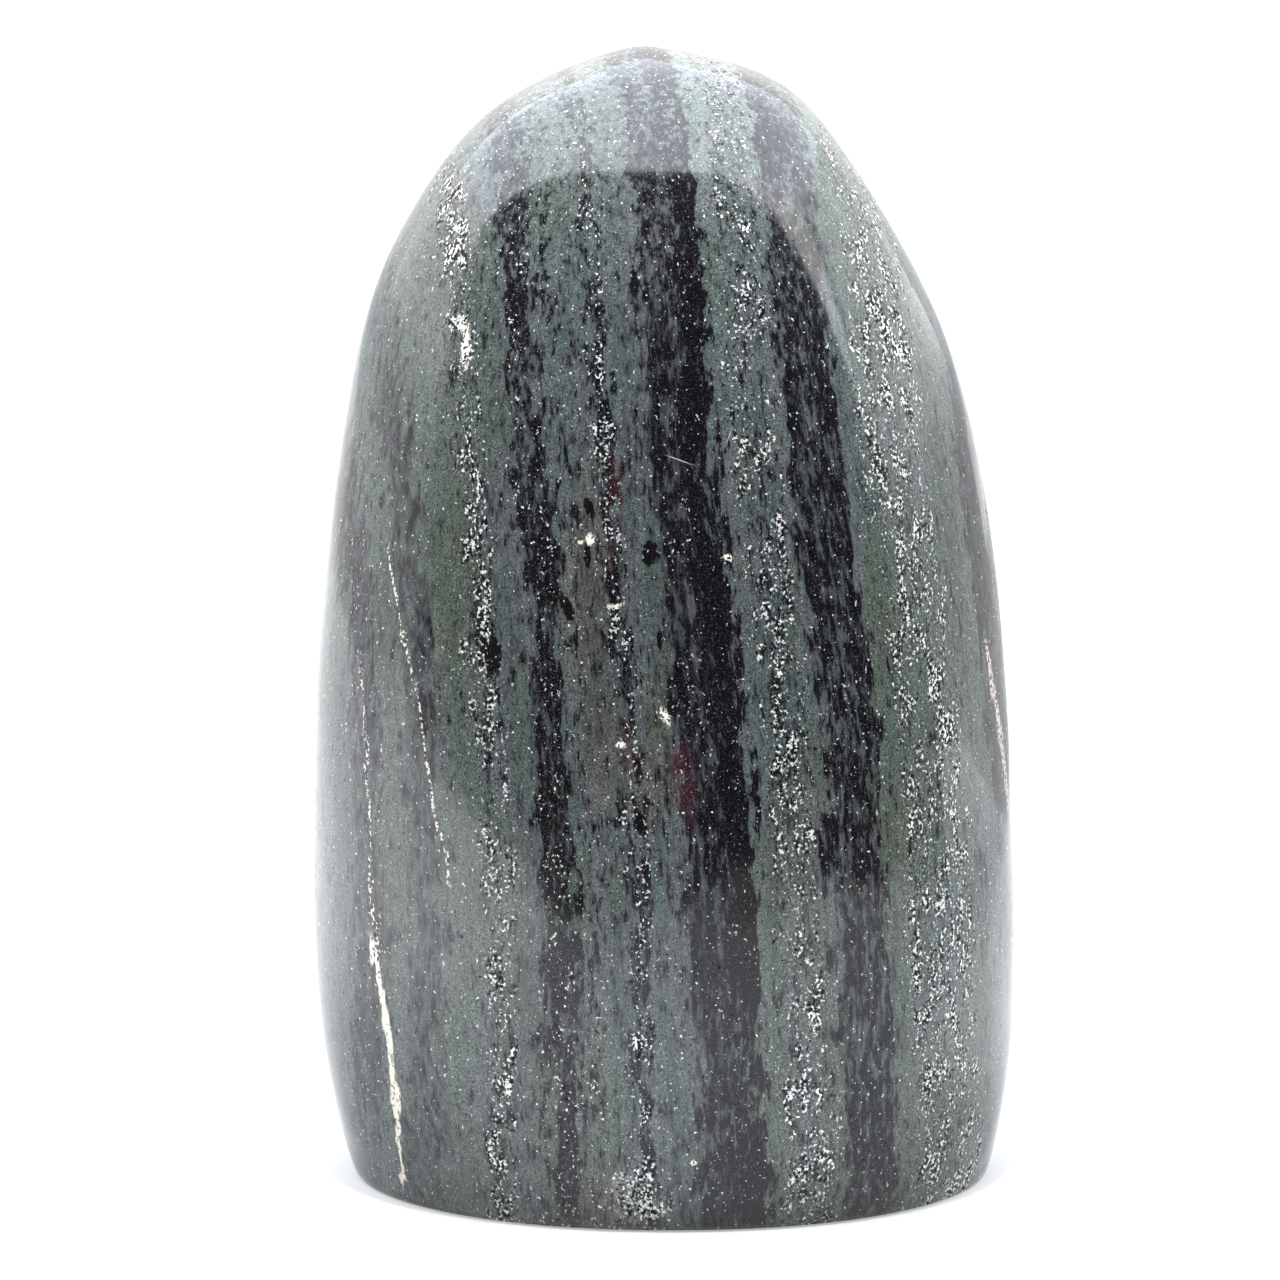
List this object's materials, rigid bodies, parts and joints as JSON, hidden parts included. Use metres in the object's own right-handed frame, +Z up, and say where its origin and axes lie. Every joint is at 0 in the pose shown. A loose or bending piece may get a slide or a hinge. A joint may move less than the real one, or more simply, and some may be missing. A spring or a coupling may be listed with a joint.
{
  "type": "polished jasper stone",
  "caption": "Free-standing polished stone: a tall, flattened, egg-topped pebble of banded green jasper, ground in soft flats and sawn level at its foot.",
  "frame": {"origin": "middle of the foot, at the level of the surface it stands on", "axes": "+Z up along the stone's height, the broad banded front faces -Y, X across its width"},
  "size_m": [0.0754, 0.0524, 0.1201],
  "materials": {
    "polished_jasper": "polished, sawn and half polished under the foot"
  },
  "bodies": {
    "root": {"jasper_stone": "polished_jasper"}
  },
  "joints": []
}
